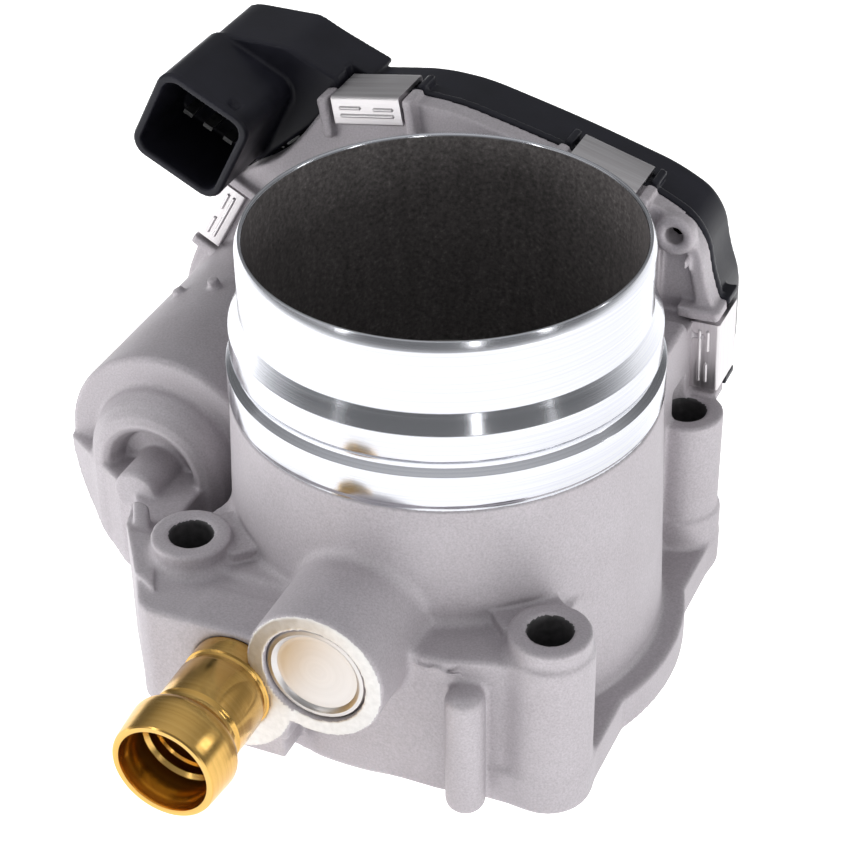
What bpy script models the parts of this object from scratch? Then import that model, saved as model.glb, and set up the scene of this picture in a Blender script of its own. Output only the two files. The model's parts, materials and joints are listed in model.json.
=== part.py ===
"""Drive-by-wire throttle body: cast housing, valve, motor, gear train, cover and clips.

The frame is +Z along the bore towards the inlet and +Y along the throttle shaft towards the
gear cover. The origin is on the bore's axis, in the plane of the manifold flange.
Lengths below are in millimetres and become metres in the helper functions.
"""
import math

import bmesh
import bpy
from mathutils import Matrix, Vector

MM = 0.001
GAP = 0.3                 # clearance between neighbouring pieces

# ---- driving dimensions -------------------------------------------------------------
BORE_R = 31.0             # air bore
RIM_Z = 76.2              # top of the hose spigot
SHAFT_Z = 26.6            # height of the throttle shaft
SHAFT_R = 4.0
BEARING_BORE_R = 7.8
FLANGE_T = 6.5
FLANGE_R = 40.0
BOLT_X = 30.3             # half of the bolt rectangle along X
BOLT_Y = 31.5             # half of the bolt rectangle along Y
BOLT_HOLE_R = 3.5
BOSS_R = 6.42
FLANGE_STEP = 0.25        # ledge of the flange round each bolt boss
BOSS_TOP = 31.3
DECK_Z = 27.7             # top of the front deck that carries the bosses
WALL_Y = -40.5            # front wall between the plug boss and the right-hand bolt boss
BLOCK_Y = -46.5           # front wall of the hose port block

PLUG_FACE_Y = -50.0
PLUG_BOSS_R = 11.2
PLUG_R = 8.45

PORT_X = -15.2            # hose port axis
PORT_Z = 19.1
PORT_BOSS_R = 11.3
PORT_BORE_R = 7.2
NIPPLE_END_Y = -70.0

MOTOR_X = -49.7
MOTOR_Z = 23.7
MOTOR_HOUSE_R = 19.0
MOTOR_FRONT_Y = -5.0
MOTOR_CAVITY_R = 14.4
CAN_R = 14.0
CAN_WALL = 1.2
MOTOR_SCREW_REACH = 16.2  # from the motor's axis to its two screws
END_PLATE_R = 15.6

CASE_FRONT_Y = 38.0       # front wall of the gear case
CASE_FLOOR_Y = 40.5
CASE_RIM_Y = 42.0
CASE_WALL = 2.6
COVER_TOP_Y = 57.0
COVER_CEILING_Y = 55.3

SOCKET_X = -58.0          # connector socket axis
SOCKET_Z = 68.7
SOCKET_TILT = 27.0        # degrees about Y
SOCKET_MOUTH_Y = 24.0
SOCKET_SIDE = 18.6
SOCKET_WALL = 1.6
PIN_PITCH_X = 4.2
PIN_PITCH_Z = 6.0

FINE_MODULE = 0.8         # motor pinion and intermediate wheel
COARSE_MODULE = 1.0       # intermediate pinion and throttle sector
SMALL_TEETH = 12
LARGE_TEETH = 48

CLIP_WIDTH = 13.0
CLIP_T = 0.8


# ---- scene, materials, basic solids ---------------------------------------------------
def clear_scene():
    for item in list(bpy.data.objects):
        bpy.data.objects.remove(item, do_unlink=True)


def new_collection(name):
    group = bpy.data.collections.new(name)
    bpy.context.scene.collection.children.link(group)
    return group


def new_material(name, colour, metallic, roughness):
    made = bpy.data.materials.new(name)
    made.use_nodes = True
    shader = made.node_tree.nodes["Principled BSDF"]
    shader.inputs["Base Color"].default_value = (*colour, 1.0)
    shader.inputs["Metallic"].default_value = metallic
    shader.inputs["Roughness"].default_value = roughness
    return made


clear_scene()
PARTS = new_collection("throttle_body")
TOOLS = new_collection("cutters")

CAST = new_material("cast_aluminium", (0.62, 0.60, 0.60), 0.9, 0.55)
STEEL = new_material("bright_steel", (0.72, 0.71, 0.70), 1.0, 0.30)
BRASS = new_material("brass", (0.80, 0.58, 0.25), 1.0, 0.22)
BLACK = new_material("black_plastic", (0.02, 0.02, 0.025), 0.0, 0.42)
RUBBER = new_material("seal_rubber", (0.03, 0.03, 0.03), 0.0, 0.8)
DARK = new_material("coated_steel", (0.12, 0.12, 0.12), 0.8, 0.5)
NYLON = new_material("gear_nylon", (0.75, 0.72, 0.62), 0.0, 0.45)
BOARD = new_material("circuit_board", (0.03, 0.16, 0.07), 0.0, 0.5)
COPPER = new_material("armature_copper", (0.70, 0.33, 0.18), 0.9, 0.4)


def link(item, material):
    """Put a finished part, or a shape that only cuts or joins, in its collection."""
    if material is None:
        TOOLS.objects.link(item)
        item.hide_render = True
        item.display_type = "WIRE"
    else:
        PARTS.objects.link(item)
        item.data.materials.append(material)
    return item


def object_from(bm, name, material):
    bmesh.ops.recalc_face_normals(bm, faces=bm.faces)
    mesh = bpy.data.meshes.new(name)
    bm.to_mesh(mesh)
    bm.free()
    mesh.shade_smooth()
    mesh.set_sharp_from_angle(angle=math.radians(35))
    return link(bpy.data.objects.new(name, mesh), material)


def along_y(x, z, y=0.0):
    """Place a shape made around its own Z so that it lies along world Y, facing -Y."""
    return Matrix.Translation(Vector((x, y, z)) * MM) @ Matrix.Rotation(math.pi / 2, 4, "X")


def upright(x=0.0, y=0.0, z=0.0):
    return Matrix.Translation(Vector((x, y, z)) * MM)


def cylinder(name, radius, low, high, place, material=None, segments=48, top_radius=None):
    """A cylinder or cone on its own Z from low to high, then placed by a matrix."""
    bm = bmesh.new()
    upper = radius if top_radius is None else top_radius
    bmesh.ops.create_cone(bm, cap_ends=True, segments=segments, radius1=radius * MM,
                          radius2=upper * MM, depth=(high - low) * MM)
    bmesh.ops.translate(bm, verts=bm.verts, vec=(0.0, 0.0, (high + low) / 2 * MM))
    item = object_from(bm, name, material)
    item.matrix_world = place
    return item


def rod(name, radius, y0, y1, x, z, material=None, segments=48):
    """A cylinder parallel to the throttle shaft, from y0 to y1."""
    return cylinder(name, radius, -y1, -y0, along_y(x, z), material, segments)


def box(name, low, high, material=None, place=None):
    bm = bmesh.new()
    bmesh.ops.create_cube(bm, size=1.0)
    size = [(b - a) * MM for a, b in zip(low, high)]
    middle = [(a + b) / 2 * MM for a, b in zip(low, high)]
    bmesh.ops.scale(bm, verts=bm.verts, vec=size)
    bmesh.ops.translate(bm, verts=bm.verts, vec=middle)
    item = object_from(bm, name, material)
    if place is not None:
        item.matrix_world = place
    return item


def turned(name, profile, place, material=None, steps=64):
    """A closed profile of (radius, height) points, running down its outer side, spun round Z."""
    bm = bmesh.new()
    ring = [bm.verts.new((r * MM, 0.0, h * MM)) for r, h in profile]
    for first, second in zip(ring, ring[1:] + ring[:1]):
        if max(first.co.x, second.co.x) > 0.0:
            bm.edges.new((first, second))
    mesh = bpy.data.meshes.new(name)
    bm.to_mesh(mesh)
    bm.free()
    item = link(bpy.data.objects.new(name, mesh), material)
    item.matrix_world = place
    spin = item.modifiers.new("spin", "SCREW")
    spin.axis = "Z"
    spin.steps = steps
    spin.render_steps = steps
    spin.use_merge_vertices = True
    spin.merge_threshold = 0.00001
    spin.use_smooth_shade = True
    return item


def to_mesh(item, material):
    """Swap a curve object for the welded mesh of its shape."""
    bpy.context.view_layer.update()
    graph = bpy.context.evaluated_depsgraph_get()
    mesh = bpy.data.meshes.new_from_object(item.evaluated_get(graph))
    bm = bmesh.new()
    bm.from_mesh(mesh)
    bmesh.ops.remove_doubles(bm, verts=bm.verts, dist=0.000005)
    bpy.data.meshes.remove(mesh)
    place = item.matrix_world.copy()
    name = item.name
    bpy.data.objects.remove(item, do_unlink=True)
    solid = object_from(bm, name, material)
    solid.name = name
    solid.matrix_world = place
    return solid


def plate(name, outlines, low, high, place, material=None):
    """Flat outlines, the first one outside and any others holes, given a thickness on Z."""
    curve = bpy.data.curves.new(name, "CURVE")
    curve.dimensions = "2D"
    curve.fill_mode = "BOTH"
    curve.extrude = (high - low) / 2 * MM
    for outline in outlines:
        spline = curve.splines.new("POLY")
        spline.points.add(len(outline) - 1)
        for point, (x, y) in zip(spline.points, outline):
            point.co = (x * MM, y * MM, 0.0, 1.0)
        spline.use_cyclic_u = True
    item = bpy.data.objects.new(name, curve)
    bpy.context.scene.collection.objects.link(item)
    item.matrix_world = place @ Matrix.Translation((0.0, 0.0, (high + low) / 2 * MM))
    return to_mesh(item, material)


def case_plate(name, outlines, y0, y1, material=None):
    """A plate whose outline is drawn in X and Z, reaching from y0 to y1."""
    return plate(name, outlines, -y1, -y0, along_y(0.0, 0.0), material)


def boolean(target, tool, operation):
    step = target.modifiers.new(tool.name, "BOOLEAN")
    step.operation = operation
    step.object = tool
    step.solver = "EXACT"


def cut(target, *tools):
    for tool in tools:
        boolean(target, tool, "DIFFERENCE")


def join(target, *tools):
    for tool in tools:
        boolean(target, tool, "UNION")


def bake(item):
    """Turn an object and its modifiers into a plain mesh, so that it can be used as a tool."""
    bpy.context.view_layer.update()
    graph = bpy.context.evaluated_depsgraph_get()
    mesh = bpy.data.meshes.new_from_object(item.evaluated_get(graph))
    item.modifiers.clear()
    item.data = mesh
    return item


# ---- outlines ----------------------------------------------------------------------
def arc(x, y, radius, start, end, steps):
    """Points on an arc from start to end degrees."""
    turn = [math.radians(start + (end - start) * i / steps) for i in range(steps + 1)]
    return [(x + radius * math.cos(a), y + radius * math.sin(a)) for a in turn]


def rounded(points, radius, steps=3):
    """Round each corner of a closed outline with a short curve."""
    result = []
    count = len(points)
    for i in range(count):
        here = Vector(points[i])
        before = Vector(points[i - 1]) - here
        after = Vector(points[(i + 1) % count]) - here
        reach = min(radius, before.length * 0.45, after.length * 0.45)
        start = here + before.normalized() * reach
        end = here + after.normalized() * reach
        for k in range(steps + 1):
            t = k / steps
            spot = start * (1 - t) ** 2 + here * 2 * t * (1 - t) + end * t ** 2
            result.append((spot.x, spot.y))
    return result


def inset(points, distance):
    """Move each point of a clockwise or anticlockwise outline inwards by a distance."""
    count = len(points)
    area = sum(points[i - 1][0] * points[i][1] - points[i][0] * points[i - 1][1] for i in range(count))
    side = 1.0 if area > 0 else -1.0
    moved = []
    for i in range(count):
        here = Vector(points[i])
        ahead = (Vector(points[(i + 1) % count]) - here).normalized()
        behind = (here - Vector(points[i - 1])).normalized()
        middle = (ahead + behind).normalized()
        normal = Vector((-middle.y, middle.x)) * side
        stretch = max(0.5, normal.dot(Vector((-ahead.y, ahead.x)) * side))
        moved.append(tuple(here + normal * distance / stretch))
    return moved


def rounded_rectangle(half_x, half_y, radius, steps=8):
    corners = []
    for sign_x, sign_y, start in ((1, 1, 0), (-1, 1, 90), (-1, -1, 180), (1, -1, 270)):
        corners += arc(sign_x * (half_x - radius), sign_y * (half_y - radius), radius,
                       start, start + 90, steps)
    return corners


# Gear case outline in X and Z, anticlockwise seen from the front, with a straight run under
# each of the four clips.
CASE_CORNERS = [
    (-38.0, 73.0), (-42.5, 66.5), (-48.0, 60.0), (-57.5, 54.5), (-65.8, 39.5),
    (-69.6, 30.0), (-69.8, 18.0), (-66.0, 8.6), (-59.5, 4.2), (-52.0, 3.4),
    (13.0, 3.4), (20.5, 8.0), (26.5, 14.5), (30.0, 22.0), (32.9, 31.0), (32.6, 46.5),
    (30.6, 52.0), (29.5, 58.0), (26.5, 62.3), (20.0, 65.7), (3.0, 70.7),
    (-15.0, 75.0), (-23.5, 75.4),
]
CASE_OUTLINE = rounded(CASE_CORNERS, 2.5, 2)

# Each clip: middle of its straight run on the outline (X, Z) and the run's tilt about Y.
CLIPS = [
    ("cover_clip_top_left", -30.75, 74.2, 9.4),
    ("cover_clip_top_right", 11.5, 68.2, -16.4),
    ("cover_clip_right", 32.75, 38.9, -88.9),
    ("cover_clip_upper_left", -61.65, 47.0, 61.0),
]


def clip_place(x, z, tilt):
    """Local X runs along the clip, local Z points out of the case."""
    return Matrix.Translation(Vector((x, 0.0, z)) * MM) @ Matrix.Rotation(-math.radians(tilt), 4, "Y")


# ---- housing -------------------------------------------------------------------------
def spigot_and_barrel():
    """Machined hose spigot on top of the tapered cast barrel, still without its bore."""
    profile = [
        (0.0, RIM_Z), (BORE_R + 0.7, RIM_Z), (BORE_R + 1.3, RIM_Z - 1.7),
        (BORE_R + 1.3, RIM_Z - 11.8), (34.0, RIM_Z - 14.8), (34.0, RIM_Z - 19.1),
        (33.4, RIM_Z - 19.8), (33.4, RIM_Z - 20.7), (34.7, RIM_Z - 21.4),
        (34.7, RIM_Z - 26.9), (34.3, RIM_Z - 27.4), (34.3, RIM_Z - 28.2),
        (36.0, FLANGE_T), (36.0, 1.0), (0.0, 1.0),
    ]
    return turned("spigot_and_barrel", profile, upright(), steps=72)


def motor_house():
    """Motor housing with its shoulder, ring-shaped dome, hollow and centre stub."""
    front = -MOTOR_FRONT_Y
    profile = [
        (0.0, front + 9.5), (3.9, front + 9.5), (3.9, front + 2.0), (7.4, front + 2.0),
        (8.2, front + 6.4), (9.2, front + 7.0), (10.6, front + 6.4), (11.8, front + 4.2),
        (12.4, front + 0.6), (13.2, front), (17.6, front), (18.6, front - 0.5),
        (MOTOR_HOUSE_R, front - 1.6), (MOTOR_HOUSE_R, -CASE_FRONT_Y - 1.0),
        (0.0, -CASE_FRONT_Y - 1.0),
    ]
    return turned("motor_house", profile, along_y(MOTOR_X, MOTOR_Z), steps=48)


def flange_outline():
    """Rounded rectangle round the four bosses, swollen on each side by the flange's disc."""
    reach = BOSS_R + FLANGE_STEP
    outline = []
    for turn in range(4):
        sign_x, sign_y = ((1, 1), (-1, 1), (-1, -1), (1, -1))[turn]
        start = turn * 90
        outline += arc(sign_x * BOLT_X, sign_y * BOLT_Y, reach, start, start + 90, 6)
        side = (BOLT_Y if turn % 2 == 0 else BOLT_X) + reach
        swell = math.degrees(math.acos(side / FLANGE_R)) - 1.0
        outline += arc(0.0, 0.0, FLANGE_R, start + 90 - swell, start + 90 + swell, 8)
    return outline


def front_deck_outline():
    """Deck between the front bosses: right boss corner, front wall, port block, left side."""
    corner = arc(BOLT_X, -BOLT_Y, BOSS_R - FLANGE_STEP, 0, -90, 8)
    return corner + [(24.0, -38.0), (17.0, WALL_Y), (-6.0, WALL_Y), (-8.0, -34.0),
                     (-34.0, -34.0), (-36.7, -25.0), (-28.0, -12.0), (28.0, -12.0)]


def port_block_outline():
    return rounded([(-6.0, BLOCK_Y), (-6.0, -30.0), (-40.0, -20.0), (-45.0, -26.0),
                    (-31.5, BLOCK_Y)], 1.5, 3)


def end_gusset_outline():
    """Web that closes the motor end on its lower left and runs out to the centre stub."""
    return [(-65.6, -3.0), (-65.2, -6.2), (-54.4, -14.2), (-50.7, -15.6), (-46.0, -22.0),
            (-40.0, -24.0), (-40.0, -1.0)]


def fin_outline():
    """Thin wall from the centre stub to the corner of the port block."""
    return [(-50.6, -17.6), (-47.9, -15.9), (-31.9, -40.6), (-34.8, -42.5)]


def port_lobe():
    """Lower right part of the hose port's boss, level with the plug boss."""
    lobe = rod("port_lobe", PORT_BOSS_R, PLUG_FACE_Y, -36.0, PORT_X, PORT_Z)
    lean = Matrix.Translation(Vector((PORT_X, 0.0, PORT_Z)) * MM) @ Matrix.Rotation(math.radians(-38), 4, "Y")
    cut(lobe, box("port_lobe_trim", (-20, -60, -1.5), (20, BLOCK_Y, 20), place=lean))
    cut(lobe, box("port_lobe_top", (-40, -60, DECK_Z - 0.2), (0, -30, 40)))
    return bake(lobe)


def case_ribs(house):
    """Two upright ribs, a drilled ear and a small step on the case's front wall."""
    for i, x in enumerate((24.4, 27.0)):
        join(house, box(f"case_rib_{i}", (x - 0.6, 36.0, 24.0), (x + 0.6, CASE_FRONT_Y + 1.0, 57.0)))
    join(house, rod("ear", 3.6, 36.2, CASE_FRONT_Y + 1.0, 25.0, 61.0, segments=24))
    join(house, box("case_step", (25.2, 36.6, 41.0), (27.9, CASE_FRONT_Y + 1.0, 43.6)))


def clip_posts(house):
    """Cast posts on both sides of each upper clip's front leg."""
    for i, (_, x, z, tilt) in enumerate(CLIPS[:3]):
        for side in (-1, 1):
            low = (side * 8.2 - 1.0, 36.4, -6.0)
            high = (side * 8.2 + 1.0, CASE_FRONT_Y + 1.0, 0.2)
            join(house, box(f"clip_post_{i}_{side + 1}", low, high, place=clip_place(x, z, tilt)))


def make_housing():
    house = box("throttle_housing", (-27.0, 18.0, 4.0), (27.0, CASE_FRONT_Y + 1.0, 46.5), CAST)
    join(house, bake(spigot_and_barrel()))
    join(house, bake(motor_house()))
    join(house, plate("flange", [flange_outline()], 0.0, FLANGE_T, upright()))
    for sign_x in (-1, 1):
        for sign_y in (-1, 1):
            boss = cylinder(f"bolt_boss_{sign_x + 1}{sign_y + 1}", BOSS_R, 1.5, BOSS_TOP,
                            upright(sign_x * BOLT_X, sign_y * BOLT_Y), segments=32)
            join(house, boss)
    join(house, plate("front_deck", [front_deck_outline()], 1.0, DECK_Z, upright()))
    join(house, plate("port_block", [port_block_outline()], 8.0, DECK_Z, upright()))
    join(house, rod("plug_boss", PLUG_BOSS_R, PLUG_FACE_Y, -28.0, 0.0, SHAFT_Z))
    join(house, port_lobe())
    join(house, cylinder("front_rib", 3.2, 0.7, 24.0, upright(20.5, -41.6), segments=24))
    join(house, box("motor_foot", (-48.0, -2.0, 2.0), (-30.0, 30.0, 16.0)))
    join(house, plate("end_gusset", [end_gusset_outline()], 14.0, 23.2, upright()))
    join(house, plate("fin", [fin_outline()], 9.0, 24.4, upright()))
    join(house, case_plate("case_body", [CASE_OUTLINE], CASE_FRONT_Y, CASE_RIM_Y))
    case_ribs(house)
    clip_posts(house)
    cut(house, case_plate("case_pocket", [inset(CASE_OUTLINE, CASE_WALL)], CASE_FLOOR_Y, CASE_RIM_Y + 5))
    cut(house, cylinder("bore", BORE_R, -5.0, RIM_Z + 5.0, upright(), segments=72))
    cut(house, rod("motor_cavity", MOTOR_CAVITY_R, -3.0, CASE_FLOOR_Y + 5, MOTOR_X, MOTOR_Z, segments=44))
    cut(house, rod("motor_nose_pocket", 5.3, -6.5, 0.0, MOTOR_X, MOTOR_Z, segments=32))
    cut(house, rod("plug_bore", PLUG_R, PLUG_FACE_Y - 5, -46.6, 0.0, SHAFT_Z))
    cut(house, rod("front_bearing_bore", BEARING_BORE_R, -48.0, -36.5, 0.0, SHAFT_Z))
    cut(house, rod("rear_bearing_bore", BEARING_BORE_R, 34.5, CASE_FLOOR_Y + 5, 0.0, SHAFT_Z))
    cut(house, rod("shaft_bore", SHAFT_R + GAP, -40.0, 40.0, 0.0, SHAFT_Z, segments=40))
    cut(house, rod("port_bore", PORT_BORE_R, BLOCK_Y - 8, -36.0, PORT_X, PORT_Z, segments=40))
    cut(house, rod("port_counterbore", 7.8, BLOCK_Y - 9, BLOCK_Y, PORT_X, PORT_Z, segments=36))
    cut(house, rod("port_drilling", 4.0, -38.0, -20.0, PORT_X, PORT_Z, segments=24))
    cut(house, rod("ear_hole", 1.5, 30.0, CASE_RIM_Y + 5, 25.0, 61.0, segments=20))
    cut(house, rod("idler_pin_bore", 2.3, 38.6, CASE_RIM_Y + 5, *IDLER, segments=24))
    for i, (x, z) in enumerate(motor_screw_spots()):
        cut(house, rod(f"motor_screw_bore_{i}", 1.6, 35.5, CASE_RIM_Y + 5, x, z, segments=16))
    for sign_x in (-1, 1):
        for sign_y in (-1, 1):
            hole = cylinder(f"bolt_hole_{sign_x + 1}{sign_y + 1}", BOLT_HOLE_R, -5.0, BOSS_TOP + 5,
                            upright(sign_x * BOLT_X, sign_y * BOLT_Y), segments=28)
            cut(house, hole)
    spotface_place = upright(-BOLT_X, BOLT_Y - 0.6)
    cut(house, cylinder("rear_left_spotface", 6.9, BOSS_TOP, 60.0, spotface_place, segments=40))
    return house


# ---- fittings on the front -------------------------------------------------------------
def make_core_plug():
    radius = PLUG_R - GAP
    profile = [(0.0, 49.3), (radius - 1.0, 49.3), (radius - 0.3, 49.0), (radius, 48.3),
               (radius, 47.0), (radius - 1.0, 47.0), (radius - 1.2, 48.1), (0.0, 48.1)]
    turned("core_plug", profile, along_y(0.0, SHAFT_Z), STEEL, 40)


def make_hose_nipple():
    end = -NIPPLE_END_Y
    tube, neck, barb, bore = 7.4, 7.0, 9.0, 6.2
    root = -BLOCK_Y + GAP
    profile = [
        (bore + 1.0, end), (8.3, end), (8.5, end - 0.5), (barb, end - 5.6), (barb, end - 6.6),
        (tube + 0.5, end - 8.2), (neck, end - 8.8), (neck, end - 10.0), (tube, end - 10.6),
        (tube, root + 4.4), (neck, root + 4.0), (neck, root + 3.2), (tube, root + 2.8),
        (tube, root), (PORT_BORE_R - GAP, root), (PORT_BORE_R - GAP, 38.0), (bore, 38.0), (bore, end - 2.0),
        (bore + 1.0, end - 2.6),
    ]
    turned("hose_nipple", profile, along_y(PORT_X, PORT_Z), BRASS, 36)


# ---- cover, seal, connector and clips ----------------------------------------------------
def hood_outline(step=0.0):
    """Raised corner of the cover that carries the connector, optionally stepped inwards."""
    corners = [(-62.0, 79.3), (-67.5, 68.0), (-61.0, 57.5), (-54.0, 56.0), (-38.0, 70.0),
               (-36.0, 74.4), (-47.5, 79.9)]
    return rounded(inset(corners, step), 2.0, 2)


def socket_place():
    turn = Matrix.Rotation(math.radians(SOCKET_TILT), 4, "Y")
    centre = Matrix.Translation(Vector((SOCKET_X, 0.0, SOCKET_Z)) * MM)
    return centre @ turn @ Matrix.Rotation(math.pi / 2, 4, "X")


def make_gear_cover():
    cover = case_plate("gear_cover", [CASE_OUTLINE], CASE_RIM_Y + GAP, COVER_TOP_Y - 2.4, BLACK)
    join(cover, case_plate("cover_crown_low", [inset(CASE_OUTLINE, 0.7)], 54.0, COVER_TOP_Y - 0.8))
    join(cover, case_plate("cover_crown", [inset(CASE_OUTLINE, 2.3)], 54.0, COVER_TOP_Y))
    join(cover, case_plate("hood", [hood_outline()], 39.4, 54.0))
    join(cover, case_plate("hood_crown", [hood_outline(1.2)], 50.0, 55.8))
    half = SOCKET_SIDE / 2
    shroud = plate("shroud", [rounded_rectangle(half, half, 3.6, 5)], -41.0, -SOCKET_MOUTH_Y, socket_place())
    join(cover, shroud)
    cut(cover, case_plate("case_clearance", [inset(CASE_OUTLINE, -GAP)], 20.0, CASE_RIM_Y + GAP))
    hollow = half - SOCKET_WALL
    cut(cover, case_plate("seal_groove", [inset(CASE_OUTLINE, 1.0)], CASE_RIM_Y - 1, 43.5))
    cut(cover, case_plate("cover_pocket", [inset(CASE_OUTLINE, CASE_WALL)], CASE_RIM_Y - 1, COVER_CEILING_Y))
    cut(cover, plate("socket_hollow", [rounded_rectangle(hollow, hollow, 2.2, 4)], -39.5,
                     -SOCKET_MOUTH_Y + 5, socket_place()))
    for name, x, z, tilt in CLIPS:
        half_slot = CLIP_WIDTH / 2 + 0.6
        place = clip_place(x, z, tilt)
        cut(cover, box(name + "_seat", (-half_slot, 36.0, -0.1), (half_slot, 46.9, 8.0), place=place))
        half_slot -= 0.2
        cut(cover, box(name + "_slot", (-half_slot, 45.6, -1.7), (half_slot, 47.2, 7.0), place=place))
    return cover


def make_cover_seal():
    case_plate("cover_seal", [inset(CASE_OUTLINE, 1.3), inset(CASE_OUTLINE, 2.4)],
               CASE_RIM_Y + GAP, 43.2, RUBBER)


def make_connector_pins():
    for row in range(2):
        for column in range(3):
            x = (column - 1) * PIN_PITCH_X
            z = (row - 0.5) * PIN_PITCH_Z
            box(f"connector_pin_{row * 3 + column + 1}", (x - 0.9, z - 0.4, -39.2), (x + 0.9, z + 0.4, -33.0),
                STEEL, socket_place())


def make_clips():
    """Spring clips: a flat bridge with a leg before the case and a leg in the cover's slot."""
    low = GAP
    top = low + CLIP_T
    front = CASE_FRONT_Y - GAP
    section = [
        (front - CLIP_T, top), (front - CLIP_T, -4.2), (front, -4.2), (front, low),
        (46.0, low), (46.0, -1.2), (46.0 + CLIP_T, -1.2), (46.0 + CLIP_T, top),
    ]
    to_section = Matrix(((0, 0, 1, 0), (1, 0, 0, 0), (0, 1, 0, 0), (0, 0, 0, 1)))
    for name, x, z, tilt in CLIPS:
        plate(name, [section], -CLIP_WIDTH / 2, CLIP_WIDTH / 2, clip_place(x, z, tilt) @ to_section, STEEL)


# ---- motor -----------------------------------------------------------------------------
def motor_screw_spots():
    return [(MOTOR_X + MOTOR_SCREW_REACH * math.cos(a), MOTOR_Z + MOTOR_SCREW_REACH * math.sin(a))
            for a in (math.radians(125), math.radians(-52))]


def make_motor():
    can = [(4.9, 6.2), (4.9, 2.7), (CAN_R - 1.0, 2.7), (CAN_R, 1.7), (CAN_R, -CASE_FLOOR_Y),
           (CAN_R - CAN_WALL, -CASE_FLOOR_Y), (CAN_R - CAN_WALL, 1.5), (3.4, 1.5), (3.4, 5.0),
           (1.9, 5.0), (1.9, 6.2)]
    turned("motor_can", can, along_y(MOTOR_X, MOTOR_Z), DARK, 32)
    for i, sign in enumerate((-1, 1)):
        ring = [(12.5, -8.0), (12.5, -30.0), (11.0, -30.0), (11.0, -8.0)]
        magnet = turned(f"motor_magnet_{i + 1}", ring, along_y(MOTOR_X, MOTOR_Z), DARK, 32)
        low, high = sorted((MOTOR_Z + sign * 5.0, MOTOR_Z + sign * 20.0))
        keep = box(f"magnet_keep_{i}", (MOTOR_X - 20, 0, low), (MOTOR_X + 20, 40, high))
        boolean(magnet, keep, "INTERSECT")
    end_plate = rod("motor_end_plate", END_PLATE_R, CASE_FLOOR_Y + GAP, 42.0, MOTOR_X, MOTOR_Z, NYLON, 40)
    for i, (x, z) in enumerate(motor_screw_spots()):
        join(end_plate, rod(f"end_plate_ear_{i}", 3.2, CASE_FLOOR_Y + GAP, 42.0, x, z, segments=20))
        cut(end_plate, rod(f"end_plate_hole_{i}", 1.8, 38.0, 45.0, x, z, segments=16))
        make_screw(f"motor_screw_{i + 1}", x, z, 36.2)
    cut(end_plate, rod("end_plate_bore", 2.2, 38.0, 45.0, MOTOR_X, MOTOR_Z, segments=24))
    for i, x in enumerate((-59.5, -56.0)):
        cut(end_plate, box(f"terminal_slot_{i}", (x - 1.1, 38.0, 13.6), (x + 1.1, 45.0, 15.0)))
        box(f"motor_terminal_{i + 1}", (x - 0.8, 41.0, 13.9), (x + 0.8, 49.0, 14.7), COPPER)


def make_screw(name, x, z, tip_y):
    """Pan-head screw along Y with its head towards the cover."""
    head = 42.3
    profile = [(0.0, -tip_y), (1.0, -tip_y), (1.3, -tip_y - 0.4), (1.3, -head), (2.8, -head),
               (2.8, -head - 1.2), (2.2, -head - 1.8), (0.0, -head - 1.8)]
    turned(name, profile, along_y(x, z), STEEL, 20)


# ---- gears -------------------------------------------------------------------------------
def idler_centre():
    """Where both gear pairs meet at their own centre distances, above the centre line."""
    first = FINE_MODULE * (SMALL_TEETH + LARGE_TEETH) / 2
    second = COARSE_MODULE * (SMALL_TEETH + LARGE_TEETH) / 2
    along = Vector((0.0 - MOTOR_X, SHAFT_Z - MOTOR_Z))
    reach = along.length
    along.normalize()
    step = (first ** 2 - second ** 2 + reach ** 2) / (2 * reach)
    rise = math.sqrt(first ** 2 - step ** 2)
    return (MOTOR_X + along.x * step - along.y * rise, MOTOR_Z + along.y * step + along.x * rise)


IDLER = idler_centre()


def gear_outline(module, teeth, centre, phase, first=0, last=None):
    """Trapezoid teeth on a root circle; a sector leaves the rest of the rim plain."""
    pitch_r = module * teeth / 2
    tip = pitch_r + 0.85 * module
    root = pitch_r - 1.15 * module
    step = 2 * math.pi / teeth
    outline = []
    for i in range(teeth):
        middle = phase + i * step
        toothed = last is None or first <= i <= last
        shape = ((root, -0.31), (tip, -0.12), (tip, 0.12), (root, 0.31)) if toothed else ((root, 0.0),)
        for radius, part in shape:
            angle = middle + part * step
            outline.append((centre[0] + radius * math.cos(angle), centre[1] + radius * math.sin(angle)))
    return outline


def angle_to(start, end):
    return math.atan2(end[1] - start[1], end[0] - start[0])


def circle(centre, radius, steps):
    return arc(centre[0], centre[1], radius, 0, 360 * (steps - 1) / steps, steps - 1)


def make_intermediate_gear():
    """Wide wheel driven by the motor, with its own pinion for the throttle sector."""
    toward_motor = angle_to(IDLER, (MOTOR_X, MOTOR_Z))
    toward_shaft = angle_to(IDLER, (0.0, SHAFT_Z))
    wheel = case_plate("intermediate_gear", [gear_outline(FINE_MODULE, LARGE_TEETH, IDLER, toward_motor)],
                       47.2, 50.6, NYLON)
    pinion = gear_outline(COARSE_MODULE, SMALL_TEETH, IDLER, toward_shaft)
    join(wheel, case_plate("intermediate_pinion", [pinion], 41.4, 48.0))
    cut(wheel, rod("intermediate_bore", 2.3, 38.0, 54.0, *IDLER, segments=24))
    rod("intermediate_gear_pin", 2.0, 38.9, 53.2, *IDLER, STEEL, 24)
    return wheel


def make_motor_pinion():
    motor = (MOTOR_X, MOTOR_Z)
    phase = angle_to(motor, IDLER) + math.pi / SMALL_TEETH
    outline = gear_outline(FINE_MODULE, SMALL_TEETH, motor, phase)
    return case_plate("motor_pinion", [outline, circle(motor, 1.8, 16)], 46.4, 51.4, BRASS)


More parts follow.
